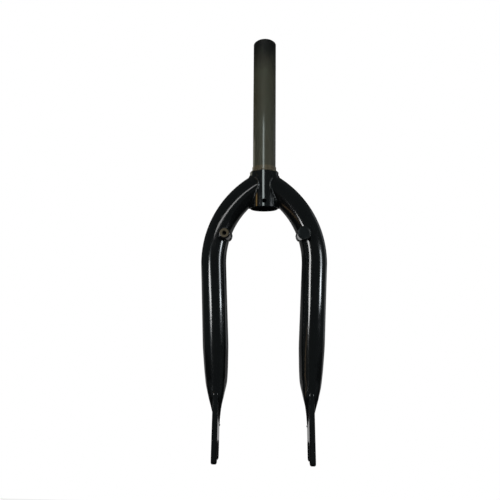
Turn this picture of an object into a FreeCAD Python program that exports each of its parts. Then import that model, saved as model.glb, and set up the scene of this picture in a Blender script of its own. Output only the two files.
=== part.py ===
import FreeCAD, Part
import math
import os

import Sketcher

# Rigid BMX fork. The origin is on the steering axis at the crown race shoulder, +Z runs up the
# steerer, and the front of the fork faces -Y. Right-hand pieces are modelled and the left-hand
# ones are mirrored from them.

DIMENSIONS = {
    # steerer, turned with its race seat and thick base
    "steerer_diameter": 28.6,
    "steerer_bore": 25.4,
    "steerer_length": 167.6,
    "steerer_chamfer": 0.8,
    "race_seat_diameter": 30.0,
    "race_seat_height": 5.5,
    "base_shoulder": 3.0,
    "base_skirt": 1.3,
    "base_chamfer": 1.2,
    "bolt_hole_diameter": 5.5,
    "bolt_hole_drop": 39.7,
    # bent legs
    "leg_diameter": 30.5,
    "leg_wall": 1.8,
    "leg_rake": 4.2,
    "leg_toe_in": 2.7,
    "bend_radius": 111.0,
    "bend_half_spread": 61.1,
    "leg_top_drop": 7.06,
    # pinched leg end: height above the axle, width across, depth front to back and shift forward
    "pinch_above": 115.0,
    "pinch_lead": 10.0,
    "neck_above": 89.0,
    "neck_width": 28.5,
    "neck_depth": 31.0,
    "shoulder_above": 69.0,
    "shoulder_width": 25.3,
    "shoulder_depth": 32.0,
    "waist_above": 55.0,
    "waist_width": 18.9,
    "waist_depth": 33.0,
    "flat_above": 42.0,
    "flat_width": 13.1,
    "flat_depth": 32.0,
    "flat_shift": 1.5,
    "spade_above": 29.0,
    "spade_width": 10.8,
    "spade_depth": 27.0,
    "spade_shift": 4.0,
    "leg_end_above": 19.0,
    "leg_end_width": 9.8,
    "leg_end_depth": 14.0,
    "leg_end_shift": 6.0,
    "leg_trim_above": 26.0,
    "leg_trim_angle": 43.0,
    # plate dropouts
    "hub_width": 100.0,
    "hub_clearance": 1.0,
    "plate_thickness": 6.5,
    "plate_width": 26.0,
    "plate_top_round": 6.0,
    "plate_rise": 62.0,
    "plate_tilt": 9.0,
    "axle_offset": 33.0,
    "axle_drop": 322.0,
    "axle_diameter": 9.5,
    "axle_clearance": 0.5,
    "prong_length": 12.0,
    "prong_tip_round": 3.8,
    # brake bosses and the cap in one of them
    "boss_diameter": 14.0,
    "boss_chamfer": 1.2,
    "boss_back": 2.0,
    "boss_front": 24.0,
    "boss_angle": 17.835,
    "boss_overhang": 1.3,
    "thread_hole": 5.0,
    "thread_depth": 8.0,
    "cap_diameter": 16.0,
    "cap_thickness": 2.4,
    "cap_round": 0.8,
    "cap_stem_length": 6.5,
    "stem_clearance": 0.1,
    # weld beads and the fit of welded pieces
    "crown_bead": 1.7,
    "crown_bead_split": 2.0,
    "boss_bead": 1.8,
    "weld_fit": 0.05,
}


class Size:
    """A number from the sheet, kept together with the formula that gives it."""

    def __init__(self, value, formula):
        self.value = value
        self.formula = formula

    def join(self, other, sign, value):
        right = other.formula if isinstance(other, Size) else repr(other)
        return Size(value, f"({self.formula} {sign} {right})")

    def __add__(self, other):
        return self.join(other, "+", self.value + number(other))

    def __sub__(self, other):
        return self.join(other, "-", self.value - number(other))

    def __mul__(self, other):
        return self.join(other, "*", self.value * number(other))

    def __truediv__(self, other):
        return self.join(other, "/", self.value / number(other))

    def __neg__(self):
        return Size(-self.value, f"(-{self.formula})")


def number(size):
    return size.value if isinstance(size, Size) else size


def formula(size):
    return size.formula if isinstance(size, Size) else repr(size)


def sine(angle):
    return Size(math.sin(math.radians(angle.value)), f"sin({angle.formula} * 1 deg)")


def cosine(angle):
    return Size(math.cos(math.radians(angle.value)), f"cos({angle.formula} * 1 deg)")


def root(square):
    return Size(math.sqrt(square.value), f"sqrt({square.formula})")


def arc_sine(ratio):
    return Size(math.degrees(math.asin(ratio.value)), f"(asin({ratio.formula}) / 1 deg)")


class Sizes:
    """The driving dimensions, each read as a Size under its own name."""


doc = FreeCAD.newDocument("bmx_fork")
sheet = doc.addObject("Spreadsheet::Sheet", "dims")
dims = Sizes()


def add_row(alias, value, content):
    """One more row of the sheet, read afterwards as dims.alias."""
    row = len(vars(dims)) + 1
    sheet.set(f"A{row}", alias)
    sheet.set(f"B{row}", content)
    sheet.setAlias(f"B{row}", alias)
    setattr(dims, alias, Size(value, f"dims.{alias}"))


def derive(alias, size):
    """A size that follows from others, worked out in the sheet."""
    add_row(alias, size.value, "=" + size.formula.replace("dims.", ""))


for name, length in DIMENSIONS.items():
    add_row(name, length, repr(length))

# The bend's centre is as high as it takes for the top of the leg to meet the base leg_top_drop
# below its shoulder, and the base ends base_skirt below the underside of the leg. The straight
# leg fills the way from the bend to the level of the axle. A boss stands on the bend and passes
# the inner side of the leg by boss_overhang.
derive("base_diameter", dims.race_seat_diameter + dims.base_shoulder * 2)
derive("leg_radius", dims.leg_diameter / 2)
derive("bend_centre_x", dims.bend_half_spread - dims.bend_radius * cosine(dims.leg_toe_in))
derive("base_reach", dims.base_diameter / 2 - dims.bend_centre_x)
derive("upper_arc", dims.bend_radius + dims.leg_radius)
derive("lower_arc", dims.bend_radius - dims.leg_radius)
derive("upper_rise", root(dims.upper_arc * dims.upper_arc - dims.base_reach * dims.base_reach))
derive("lower_rise", root(dims.lower_arc * dims.lower_arc - dims.base_reach * dims.base_reach))
derive("bend_centre_drop", dims.leg_top_drop + dims.upper_rise)
derive("bend_end_drop", dims.bend_centre_drop + dims.bend_radius * sine(dims.leg_toe_in))
derive("axle_depth", dims.axle_offset * sine(dims.leg_rake) + dims.axle_drop * cosine(dims.leg_rake))
derive("leg_length", (dims.axle_depth - dims.bend_end_drop) / cosine(dims.leg_toe_in))
derive("round_length", dims.leg_length - dims.pinch_above - dims.pinch_lead * 2)
derive("base_length", dims.bend_centre_drop - dims.lower_rise + dims.base_skirt)
derive("boss_arc", dims.lower_arc + dims.boss_diameter / 2 - dims.boss_overhang)
derive("boss_half_spread", dims.bend_centre_x + dims.boss_arc * cosine(dims.boss_angle))
derive("boss_drop", dims.bend_centre_drop - dims.boss_arc * sine(dims.boss_angle))
doc.recompute()


def bind(obj, **sizes):
    """Tie properties of an object to the sheet."""
    for name, size in sizes.items():
        obj.setExpression(name, formula(size))


def step(x=0.0, y=0.0, z=0.0, axis=(0, 0, 1), angle=0.0):
    """One placement as a formula: a shift, then a turn about an axis."""
    shift = f"vector({formula(x)}; {formula(y)}; {formula(z)})"
    turn = f"rotation(vector({axis[0]}; {axis[1]}; {axis[2]}); {formula(angle)})"
    return f"placement({shift}; {turn})"


def place(obj, *steps):
    obj.setExpression("Placement", " * ".join(steps))


def solid(kind, name, *steps, **sizes):
    """A primitive or boolean with its sizes and place tied to the sheet."""
    obj = doc.addObject(kind, name)
    bind(obj, **sizes)
    if steps:
        place(obj, *steps)
    return obj


def cut(name, base, tool):
    obj = doc.addObject("Part::Cut", name)
    obj.Base = base
    obj.Tool = tool
    return obj


def common(name, base, tool):
    obj = doc.addObject("Part::Common", name)
    obj.Base = base
    obj.Tool = tool
    return obj


def fuse(name, pieces):
    obj = doc.addObject("Part::MultiFuse", name)
    obj.Shapes = pieces
    return obj


def new_sketch(body, name, role):
    sketch = body.newObject("Sketcher::SketchObject", name)
    plane = [feature for feature in body.Origin.OriginFeatures if feature.Role == role][0]
    sketch.AttachmentSupport = [(plane, "")]
    sketch.MapMode = "FlatFace"
    return sketch


def pin_point(sketch, geometry, point, x, y):
    """Hold one end of a sketch line at a place taken from the sheet."""
    for kind, size in (("DistanceX", x), ("DistanceY", y)):
        index = sketch.addConstraint(Sketcher.Constraint(kind, -1, 1, geometry, point, number(size)))
        if isinstance(size, Size):
            sketch.setExpression(f"Constraints[{index}]", size.formula)


def polygon(sketch, corners):
    """A closed outline of straight lines through corners tied to the sheet."""
    points = [FreeCAD.Vector(number(x), number(y), 0) for x, y in corners]
    lines = []
    for start, end in zip(points, points[1:] + points[:1]):
        lines.append(sketch.addGeometry(Part.LineSegment(start, end), False))
    for line, following in zip(lines, lines[1:] + lines[:1]):
        sketch.addConstraint(Sketcher.Constraint("Coincident", line, 2, following, 1))
    for line, (x, y) in zip(lines, corners):
        pin_point(sketch, line, 1, x, y)


def circle(sketch, x, y, diameter):
    centre = FreeCAD.Vector(number(x), number(y), 0)
    geometry = sketch.addGeometry(Part.Circle(centre, FreeCAD.Vector(0, 0, 1), number(diameter) / 2), False)
    pin_point(sketch, geometry, 3, x, y)
    index = sketch.addConstraint(Sketcher.Constraint("Diameter", geometry, number(diameter)))
    sketch.setExpression(f"Constraints[{index}]", diameter.formula)


def revolve(body, name, corners):
    """Turn a half section (radius, height) about the body's own Z axis."""
    sketch = new_sketch(body, f"{name}_section", "XZ_Plane")
    polygon(sketch, corners)
    turned = body.newObject("PartDesign::Revolution", f"{name}_turned")
    turned.Profile = sketch
    turned.ReferenceAxis = (sketch, ["V_Axis"])
    turned.Angle = 360
    return turned


def upright_edges(feature, corners, tolerance=0.01):
    """Names of the edges that run along Z through the given corners."""
    names = []
    for index, edge in enumerate(feature.Shape.Edges, start=1):
        ends = [vertex.Point for vertex in edge.Vertexes]
        if len(ends) != 2 or abs(ends[0].x - ends[1].x) + abs(ends[0].y - ends[1].y) > tolerance:
            continue
        for x, y in corners:
            if abs(ends[0].x - number(x)) + abs(ends[0].y - number(y)) < tolerance:
                names.append(f"Edge{index}")
    return names


# Frames that the pieces share: the raked leg plane with Y to the front and Z down, the end of
# the bend with Z along the straight leg, and the dropout with X to the front and Y up.
LEG_PLANE = step(axis=(1, 0, 0), angle=-dims.leg_rake + 180)
BEND_END = step(dims.bend_half_spread, 0.0, dims.bend_end_drop, (0, 1, 0), -dims.leg_toe_in)
QUARTER_BACK = step(axis=(1, 0, 0), angle=-90)
QUARTER_TURN = step(axis=(0, 0, 1), angle=90)
plate_outside = dims.hub_width / 2 + dims.hub_clearance / 2 + dims.plate_thickness
DROPOUT = " * ".join([
    step(plate_outside, -dims.axle_offset, -dims.axle_drop, (1, 0, 0), -dims.plate_tilt),
    step(axis=(0, 0, 1), angle=-90),
    step(axis=(1, 0, 0), angle=90),
])


def bend(name, radius):
    """Round bar along the bend, from the steering axis to the straight leg."""
    top_angle = arc_sine(-dims.bend_centre_x / dims.bend_radius)
    frame = step(dims.bend_centre_x, 0.0, dims.bend_centre_drop, (0, 1, 0), -dims.leg_toe_in)
    sweep = -top_angle + dims.leg_toe_in + 90
    return solid("Part::Torus", name, LEG_PLANE, frame, QUARTER_BACK,
                 Radius1=dims.bend_radius, Radius2=radius, Angle3=sweep)


def leg_rings(name, inset, closed_end):
    """Cross sections of the pinched leg end, from round tube to flat spade."""
    stations = [
        (dims.pinch_above + dims.pinch_lead * 2, dims.leg_diameter, dims.leg_diameter, 0.0),
        (dims.pinch_above + dims.pinch_lead, dims.leg_diameter, dims.leg_diameter, 0.0),
        (dims.pinch_above, dims.leg_diameter, dims.leg_diameter, 0.0),
        (dims.neck_above, dims.neck_width, dims.neck_depth, 0.0),
        (dims.shoulder_above, dims.shoulder_width, dims.shoulder_depth, 0.0),
        (dims.waist_above, dims.waist_width, dims.waist_depth, 0.0),
        (dims.flat_above, dims.flat_width, dims.flat_depth, dims.flat_shift),
    ]
    if not closed_end:
        stations.append((dims.spade_above, dims.spade_width, dims.spade_depth, dims.spade_shift))
        stations.append((dims.leg_end_above, dims.leg_end_width, dims.leg_end_depth, dims.leg_end_shift))
    rings = []
    for count, (above, width, depth, shift) in enumerate(stations, start=1):
        frame = " * ".join([LEG_PLANE, BEND_END, step(0.0, shift, dims.leg_length - above)])
        rings.append(solid("Part::Ellipse", f"{name}_ring_{count}", frame, QUARTER_TURN,
                           MajorRadius=depth / 2 - inset, MinorRadius=width / 2 - inset))
    return rings


def leg_bar(name, inset, closed_end=False):
    """The whole leg as a bar, its surface set in by an inset."""
    radius = dims.leg_radius - inset
    straight = solid("Part::Cylinder", f"{name}_straight", LEG_PLANE, BEND_END,
                     Radius=radius, Height=dims.round_length)
    pinch = doc.addObject("Part::Loft", f"{name}_pinch")
    pinch.Sections = leg_rings(name, inset, closed_end)
    pinch.Solid = True
    return fuse(f"{name}_bar", [bend(f"{name}_bend", radius), straight, pinch])


def make_steerer():
    body = doc.addObject("PartDesign::Body", "steerer_tube")
    bore = dims.steerer_bore / 2
    base = dims.base_diameter / 2
    seat = dims.race_seat_diameter / 2
    outside = dims.steerer_diameter / 2
    top = dims.steerer_length
    bottom = -dims.base_length
    revolve(body, "steerer", [
        (bore, bottom),
        (base - dims.base_chamfer, bottom),
        (base, bottom + dims.base_chamfer),
        (base, -dims.base_chamfer),
        (base - dims.base_chamfer, 0.0),
        (seat, 0.0),
        (seat, dims.race_seat_height),
        (outside, dims.race_seat_height),
        (outside, top - dims.steerer_chamfer),
        (outside - dims.steerer_chamfer, top),
        (bore, top),
    ])
    doc.recompute()
    sketch = new_sketch(body, "bolt_hole_circle", "XZ_Plane")
    circle(sketch, 0.0, -dims.bolt_hole_drop, dims.bolt_hole_diameter)
    hole = body.newObject("PartDesign::Pocket", "bolt_hole")
    hole.Profile = sketch
    hole.Type = "ThroughAll"
    hole.SideType = "Symmetric"
    return body


def make_leg(envelope):
    inside = leg_bar("leg_inside", dims.leg_wall, closed_end=True)
    tube = cut("leg_tube", envelope, inside)
    tall = dims.base_length * 2
    cope = solid("Part::Cylinder", "leg_cope", step(z=-tall),
                 Radius=dims.base_diameter / 2 + dims.weld_fit, Height=tall * 2)
    coped = cut("leg_coped", tube, cope)
    reach = dims.leg_diameter * 2
    slot_frame = step(-dims.plate_width / 2 - dims.weld_fit, -reach, -dims.weld_fit)
    slot = solid("Part::Box", "leg_slot", DROPOUT, slot_frame, Length=dims.plate_width + dims.weld_fit * 2,
                 Width=reach + dims.plate_rise + dims.weld_fit,
                 Height=dims.plate_thickness + dims.weld_fit * 2)
    slotted = cut("leg_slotted", coped, slot)
    trim_turn = step(axis=(0, 1, 0), angle=dims.leg_trim_angle)
    trim = solid("Part::Box", "leg_trim", LEG_PLANE, BEND_END, step(z=dims.leg_length - dims.leg_trim_above),
                 trim_turn, step(-reach, -reach, 0.0), Length=reach * 2, Width=reach * 2, Height=reach)
    return cut("right_leg", slotted, trim)


def make_dropout():
    body = doc.addObject("PartDesign::Body", "right_dropout")
    half = dims.plate_width / 2
    slot_half = dims.axle_diameter / 2 + dims.axle_clearance / 2
    tip = -dims.prong_length - dims.prong_tip_round
    outline = new_sketch(body, "plate_outline", "XY_Plane")
    polygon(outline, [(-half, tip), (half, tip), (half, dims.plate_rise), (-half, dims.plate_rise)])
    plate = body.newObject("PartDesign::Pad", "plate")
    plate.Profile = outline
    bind(plate, Length=dims.plate_thickness)
    doc.recompute()
    arch = new_sketch(body, "slot_arch", "XY_Plane")
    circle(arch, 0.0, 0.0, slot_half * 2)
    arch_cut = body.newObject("PartDesign::Pocket", "slot_top")
    arch_cut.Profile = arch
    arch_cut.Type = "ThroughAll"
    arch_cut.SideType = "Symmetric"
    mouth = new_sketch(body, "slot_mouth", "XY_Plane")
    polygon(mouth, [(-slot_half, tip * 2), (slot_half, tip * 2), (slot_half, 0.0), (-slot_half, 0.0)])
    mouth_cut = body.newObject("PartDesign::Pocket", "slot_sides")
    mouth_cut.Profile = mouth
    mouth_cut.Type = "ThroughAll"
    mouth_cut.SideType = "Symmetric"
    doc.recompute()
    tips = [(-half, tip), (half, tip), (-slot_half, tip), (slot_half, tip)]
    prongs = body.newObject("PartDesign::Fillet", "prong_ends")
    prongs.Base = (mouth_cut, upright_edges(mouth_cut, tips))
    bind(prongs, Radius=dims.prong_tip_round)
    doc.recompute()
    tops = body.newObject("PartDesign::Fillet", "plate_top")
    tops.Base = (prongs, upright_edges(prongs, [(-half, dims.plate_rise), (half, dims.plate_rise)]))
    bind(tops, Radius=dims.plate_top_round)
    body.setExpression("Placement", DROPOUT)
    return body


def boss_frame(front):
    """Frame on the boss axis, with Z to the front."""
    return " * ".join([LEG_PLANE, step(dims.boss_half_spread, front, dims.boss_drop), QUARTER_BACK])


def make_boss(envelope):
    body = doc.addObject("PartDesign::Body", "boss_turned_blank")
    radius = dims.boss_diameter / 2
    length = dims.boss_front - dims.boss_back
    hole = dims.thread_hole / 2
    bottom = length - dims.thread_depth
    revolve(body, "boss", [
        (0.0, 0.0),
        (radius, 0.0),
        (radius, length - dims.boss_chamfer),
        (radius - dims.boss_chamfer, length),
        (hole, length),
        (hole, bottom),
        (0.0, bottom),
    ])
    body.setExpression("Placement", boss_frame(dims.boss_back))
    return cut("right_brake_boss", body, envelope)


def make_cap():
    body = doc.addObject("PartDesign::Body", "boss_plug")
    radius = dims.cap_diameter / 2
    stem = dims.thread_hole / 2 - dims.stem_clearance
    revolve(body, "cap", [
        (0.0, -dims.cap_stem_length),
        (stem, -dims.cap_stem_length),
        (stem, dims.weld_fit),
        (radius - dims.cap_round, dims.weld_fit),
        (radius, dims.cap_round + dims.weld_fit),
        (radius, dims.cap_thickness - dims.cap_round),
        (radius - dims.cap_round, dims.cap_thickness),
        (0.0, dims.cap_thickness),
    ])
    body.setExpression("Placement", boss_frame(dims.boss_front))
    return body


def make_crown_weld(envelope):
    """Bead in the corner between the leg and the base, all round the coped end."""
    bead = dims.crown_bead
    fat_leg = bend("crown_bead_leg", dims.leg_radius + bead)
    fat_base = solid("Part::Cylinder", "crown_bead_base", step(z=-dims.base_length),
                     Radius=dims.base_diameter / 2 + bead, Height=dims.base_length)
    corner = common("crown_bead_corner", fat_leg, fat_base)
    off_leg = cut("crown_bead_off_leg", corner, envelope)
    side = dims.base_length * 2
    base = solid("Part::Cylinder", "crown_bead_inside", step(z=-side),
                 Radius=dims.base_diameter / 2 + dims.weld_fit, Height=side * 2)
    off_base = cut("crown_bead_off_base", off_leg, base)
    other_half = solid("Part::Box", "crown_bead_other_half",
                       step(dims.crown_bead_split / 2 - side, -side / 2, -side),
                       Length=side, Width=side, Height=side)
    return cut("right_crown_weld", off_base, other_half)


def make_boss_weld(envelope):
    """Bead round the boss where it stands on the leg."""
    bead = dims.boss_bead
    fat_leg = bend("boss_bead_leg", dims.leg_radius + bead)
    length = dims.boss_front - dims.boss_back
    fat_boss = solid("Part::Cylinder", "boss_bead_boss", boss_frame(dims.boss_back),
                     Radius=dims.boss_diameter / 2 + bead, Height=length)
    ring = common("boss_bead_ring", fat_leg, fat_boss)
    off_leg = cut("boss_bead_off_leg", ring, envelope)
    boss = solid("Part::Cylinder", "boss_bead_inside", boss_frame(dims.boss_back - dims.boss_diameter),
                 Radius=dims.boss_diameter / 2 + dims.weld_fit, Height=length + dims.boss_diameter * 2)
    return cut("right_boss_weld", off_leg, boss)


def mirror(source, name):
    """Left-hand twin of a right-hand piece."""
    twin = doc.addObject("Part::Mirroring", name)
    twin.Source = source
    twin.Base = FreeCAD.Vector(0, 0, 0)
    twin.Normal = FreeCAD.Vector(1, 0, 0)
    return twin


leg_envelope = leg_bar("leg_outside", 0.0)
handed = {
    "leg": make_leg(leg_envelope),
    "dropout": make_dropout(),
    "brake_boss": make_boss(leg_envelope),
    "crown_weld": make_crown_weld(leg_envelope),
    "boss_weld": make_boss_weld(leg_envelope),
}
sub_parts = [make_steerer(), make_cap()]
for name, piece in handed.items():
    sub_parts.append(piece)
    sub_parts.append(mirror(piece, f"left_{name}"))
doc.recompute()

for obj in doc.Objects:
    if "Invalid" in obj.State or "Error" in obj.State:
        raise RuntimeError(f"{obj.Label} did not build: {obj.State}")
os.makedirs("parts", exist_ok=True)
for sub_part in sub_parts:
    shape = sub_part.Shape
    if shape.isNull() or not shape.isValid():
        raise RuntimeError(f"{sub_part.Label} has no valid shape")
    print(f"{sub_part.Label}: {len(shape.Solids)} solid, {shape.Volume:.1f} mm3")
    shape.exportStep(f"parts/{sub_part.Label}.step")
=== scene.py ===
import math
from typing import NamedTuple

import bmesh
import bpy
import numpy as np
from mathutils import Matrix, Vector


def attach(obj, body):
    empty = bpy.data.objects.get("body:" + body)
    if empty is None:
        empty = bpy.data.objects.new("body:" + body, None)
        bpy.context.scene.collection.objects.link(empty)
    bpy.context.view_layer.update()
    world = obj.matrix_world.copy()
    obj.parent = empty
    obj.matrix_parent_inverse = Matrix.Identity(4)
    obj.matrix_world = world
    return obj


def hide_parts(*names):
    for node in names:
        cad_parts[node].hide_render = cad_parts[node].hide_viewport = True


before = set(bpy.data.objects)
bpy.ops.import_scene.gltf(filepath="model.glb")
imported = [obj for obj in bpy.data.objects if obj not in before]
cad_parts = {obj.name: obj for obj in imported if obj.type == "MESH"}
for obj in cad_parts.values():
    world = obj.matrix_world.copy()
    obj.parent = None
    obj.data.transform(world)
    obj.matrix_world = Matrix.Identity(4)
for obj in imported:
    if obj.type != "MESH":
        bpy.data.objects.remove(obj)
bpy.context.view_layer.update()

bl_info = {
    "name": "BMX fork",
    "version": (1, 0, 0),
    "blender": (4, 5, 0),
    "location": "3D View > Sidebar > Fork",
    "description": "Dresses the solids of a rigid fork in gloss paint, bare steel and rippled weld beads",
    "category": "Object",
}

SIDES = {"left": -1.0, "right": 1.0}

# Angles in degrees above which an edge stays sharp. A bead is smooth all over.
SHARP = {"steerer": 25.0, "tube": 40.0, "plate": 50.0, "boss": 35.0, "plug": 60.0, "bead": 180.0}

# Points closer than this, in metres, become one: in meshes made here, and in the mesh of a solid.
MERGE_GAP = 1e-7
SOLID_MERGE_GAP = 1e-6

# Pinched end of a leg: distance past the bend, width across, depth front to back and shift forward.
LEG_STATIONS = (
    (0.000, 0.0305, 0.0305, 0.000),
    (0.090, 0.0305, 0.0305, 0.000),
    (0.116, 0.0285, 0.0310, 0.000),
    (0.136, 0.0253, 0.0320, 0.000),
    (0.150, 0.0189, 0.0330, 0.000),
    (0.163, 0.0122, 0.0310, -0.0010),
    (0.172, 0.0088, 0.0260, -0.0022),
    (0.178, 0.0068, 0.0195, -0.0030),
    (0.182, 0.0054, 0.0125, -0.0034),
    (0.186, 0.0040, 0.0050, -0.0036),
)

# Where the section of a leg turns from round to flat-sided, past the bend, and the powers of both outlines.
PINCH_START = 0.130
PINCH_LENGTH = 0.045
ROUND_POWER = 2.0
FLAT_POWER = 5.0

# Rounds in which the cut end of a leg and the line of a crown bead are found.
END_ROUNDS = 40
CROWN_ROUNDS = 50

# Length of a boss in depths of its hole, and the flare at the hole's mouth as a share of its radius.
BOSS_DEPTHS = 2.2
MOUTH_FLARE = 0.12

# Thread in the open boss, in pitches: start below the face, length left plain, and radius of the ridge.
THREAD_START = 3.0
THREAD_SPARE = 3.6
RIDGE_RADIUS = 0.20
RIDGE_STEPS_PER_TURN = 40

# Head of the plug: gap to the boss, its rounded edges, inset and depth of the two steps into its dish, and
# how far the middle of the dish swells. Rings under the head and across the dish are shares of its radius.
PLUG_GAP = 0.00005
PLUG_EDGE = 0.0008
PLUG_UNDER_EDGE = 0.0007
PLUG_DISH = ((0.0012, 0.0001), (0.0016, 0.0004))
PLUG_SWELL = 0.0002
PLUG_UNDER_RING = 0.3
PLUG_DISH_RINGS = (0.6, 0.3, 0.1)

# Beads: columns round a bead, points along one ripple, and the share of the way from the rim of a leg to
# its middle by which the bead at a plate is set in.
BEAD_COLUMNS = 16
STEPS_PER_RIPPLE = 8.0
PLATE_BEAD_INSET = 0.06

# Heights and radii on the steerer over which one finish gives way to the next.
# The top of the steerer is darkened by painted shade between the first two heights, with its edge made
# uneven by noise.
TOP_SHADE_HEIGHTS = (0.122, 0.160)
TOP_SHADE_WAVER = 0.05
SEAT_HEIGHTS = (0.0062, 0.0052)
OIL_HEIGHTS = (0.050, 0.085)
OIL_WEIGHT = 0.58
PAINT_HEIGHTS = (-0.0008, 0.0)
PAINT_WAVER = 0.0030
CUT_END_HEIGHTS = (-0.0468, -0.0470)
BORE_RADII = (0.0132, 0.0130)

# Bands of a noise that are stretched over a whole range, its middle, and how far the paint's gloss drifts.
NOISE_BAND = (0.3, 0.7)
STAIN_BAND = (0.35, 0.70)
NOISE_MIDDLE = 0.5
GLOSS_DRIFT = 0.25

# Floor and backdrop from the side: reach, the strip before the bend, the bend, and ends of the backdrop.
FLOOR_FRONT = -3.0
FLOOR_HALF_WIDTH = 4.0
FLOOR_END_STRIP = 0.46
SWEEP_RADIUS = 0.4
SWEEP_POINTS = 12
SWEEP_FOOT_POINTS = 5
LOW_BACKDROP_TOP = -0.05
BACKDROP_TOP = 3.5

# Shares of plain white: of the floor to the camera, and of floor and backdrop in reflections.
FLOOR_GLOW = 0.85
FULL_GLOW = 1.0
FLOOR_SHEEN = 0.03
LOW_BACKDROP_SHEEN = 0.25
BACKDROP_SHEEN = 0.05

# Viewpoint of the photograph: place, direction of view and upward direction.
CAMERA_PLACE = (-0.003534, -0.489831, -0.136213)
CAMERA_AHEAD = (-0.02784, 0.99666, 0.07672)
CAMERA_UP = (-0.00536, -0.0769, 0.99702)
SENSOR_WIDTH = 36.0
CLIP_START = 0.01

WHITE = (1.0, 1.0, 1.0)
COOL_WHITE = (0.88, 0.95, 1.0)
ROOM_TINT = (0.84, 0.98, 1.0)

# Directions and targets that several lamps share.
UPRIGHT = (0.0, 0.0, 1.0)
SLANTED = (-0.55, 0.41, 0.72)
LEFT_TARGET = (0.0, 0.0, -0.130)
RIGHT_TARGET = (0.0, -0.015, -0.130)

# Pieces that are shaded from several lamps.
RIGHT_LEG_TOP = ("right_tube", "right_crown_bead")
FRONT_SHADED = ("left_plate", "left_boss", "left_boss_ridge", "plug")


class Lamp(NamedTuple):
    """A rectangular lamp, with the pieces it is shaded from or the only ones it lights."""

    name: str
    place: tuple
    target: tuple
    along: tuple
    width: float
    height: float
    power: float
    tint: tuple = WHITE
    shaded: tuple = ()
    only: tuple = ()


# The lamps stand where reflection lines from the highlights lead. The last one stands straight behind the
# fork, for the views from there.
LAMPS = (
    Lamp("left_strip", (-0.519, -0.722, -0.055), LEFT_TARGET, SLANTED, 0.15, 0.185, 1.5),
    Lamp(
        "left_foot", (-0.453, -0.7715, -0.1415), LEFT_TARGET, SLANTED, 0.15, 0.055, 0.45,
        shaded=(*RIGHT_LEG_TOP, "plug"),
    ),
    Lamp(
        "left_cap", (-0.617, -0.649, 0.074), LEFT_TARGET, SLANTED, 0.15, 0.17, 1.3,
        shaded=("steerer", "left_tube", "left_crown_bead", "left_boss_bead"),
    ),
    Lamp(
        "left_halo", (-0.528, -0.749, -0.061), LEFT_TARGET, SLANTED, 0.36, 0.25, 0.34,
        tint=(0.80, 0.94, 1.0), shaded=RIGHT_LEG_TOP,
    ),
    Lamp("right_halo", (0.624, -0.381, -0.03), RIGHT_TARGET, UPRIGHT, 0.34, 0.28, 0.30, tint=COOL_WHITE),
    Lamp(
        "right_strip", (0.606, -0.370, -0.0853), RIGHT_TARGET, UPRIGHT, 0.13, 0.0495, 0.524,
        tint=COOL_WHITE,
    ),
    Lamp(
        "right_foot", (0.606, -0.370, -0.1278), RIGHT_TARGET, UPRIGHT, 0.13, 0.0355, 0.376,
        tint=COOL_WHITE, shaded=("left_tube",),
    ),
    Lamp("right_card", (0.606, -0.370, 0.005), RIGHT_TARGET, UPRIGHT, 0.13, 0.13, 0.58, tint=COOL_WHITE),
    Lamp("back_card", (1.10, 0.65, 0.15), (0.0, 0.0, -0.10), UPRIGHT, 0.35, 1.10, 0.60, tint=COOL_WHITE),
    Lamp(
        "front_strip", (-0.070, -0.515, 0.150), (0.0, 0.0, 0.0), (-0.15, 0.0, 1.0), 0.13, 0.24, 0.80,
        tint=(0.86, 0.97, 0.965), shaded=("left_tube", "right_tube", *FRONT_SHADED),
    ),
    Lamp(
        "upper_card", (-0.110, -0.515, 0.113), (0.0, 0.0, -0.05), (-1.0, 0.0, 0.05), 0.055, 0.31, 0.34,
        shaded=(*RIGHT_LEG_TOP, "steerer", *FRONT_SHADED),
    ),
    Lamp(
        "top_box", (-0.10, -0.35, 0.75), (0.0, 0.0, -0.05), (0.0, 1.0, 0.0), 0.5, 0.5, 0.8,
        shaded=("left_plate", "left_tube"),
    ),
    Lamp(
        "warm_card", (-0.40, -0.215, 0.048), (0.0, 0.0, -0.04), UPRIGHT, 0.075, 0.065, 0.05,
        tint=(1.0, 0.60, 0.17), shaded=("left_tube",),
    ),
    Lamp(
        "wood_card", (-0.43, -0.19, -0.29), (0.03, -0.015, -0.06), (0.03, -0.41, 0.25), 0.02, 0.44, 0.04,
        tint=(1.0, 0.68, 0.36), only=("right_tube",),
    ),
    Lamp(
        "boss_card", (-0.02, 0.458, -0.13), (0.0468, -0.03, -0.0805), UPRIGHT, 0.30, 0.30, 0.14,
        only=("right_boss", "right_boss_bead"),
    ),
    Lamp(
        "steerer_card", (-0.60, 0.50, 0.12), (0.0, 0.0, 0.08), UPRIGHT, 0.40, 0.40, 0.5,
        tint=(1.0, 0.98, 0.80), only=("steerer",),
    ),
    Lamp(
        "back_strip", (0.0, 0.90, -0.35), (0.0, 0.0, -0.15), UPRIGHT, 0.22, 0.70, 0.6,
        only=("steerer", "left_tube", "right_tube"),
    ),
)


def length(name, description, default):
    """A size in metres for the panel."""
    return bpy.props.FloatProperty(
        name=name, description=description, default=default, min=0.0, precision=5, unit="LENGTH"
    )


def angle(name, description, degrees):
    """An angle for the panel."""
    return bpy.props.FloatProperty(
        name=name, description=description, default=math.radians(degrees), unit="ROTATION"
    )


def share(name, description, default):
    """A number from 0 to 1 for the panel."""
    return bpy.props.FloatProperty(
        name=name, description=description, default=default, min=0.0, max=1.0, subtype="FACTOR"
    )


def colour(name, description, default):
    """A colour for the panel."""
    return bpy.props.FloatVectorProperty(
        name=name, description=description, default=default, size=3, min=0.0, max=1.0, subtype="COLOR"
    )


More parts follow.
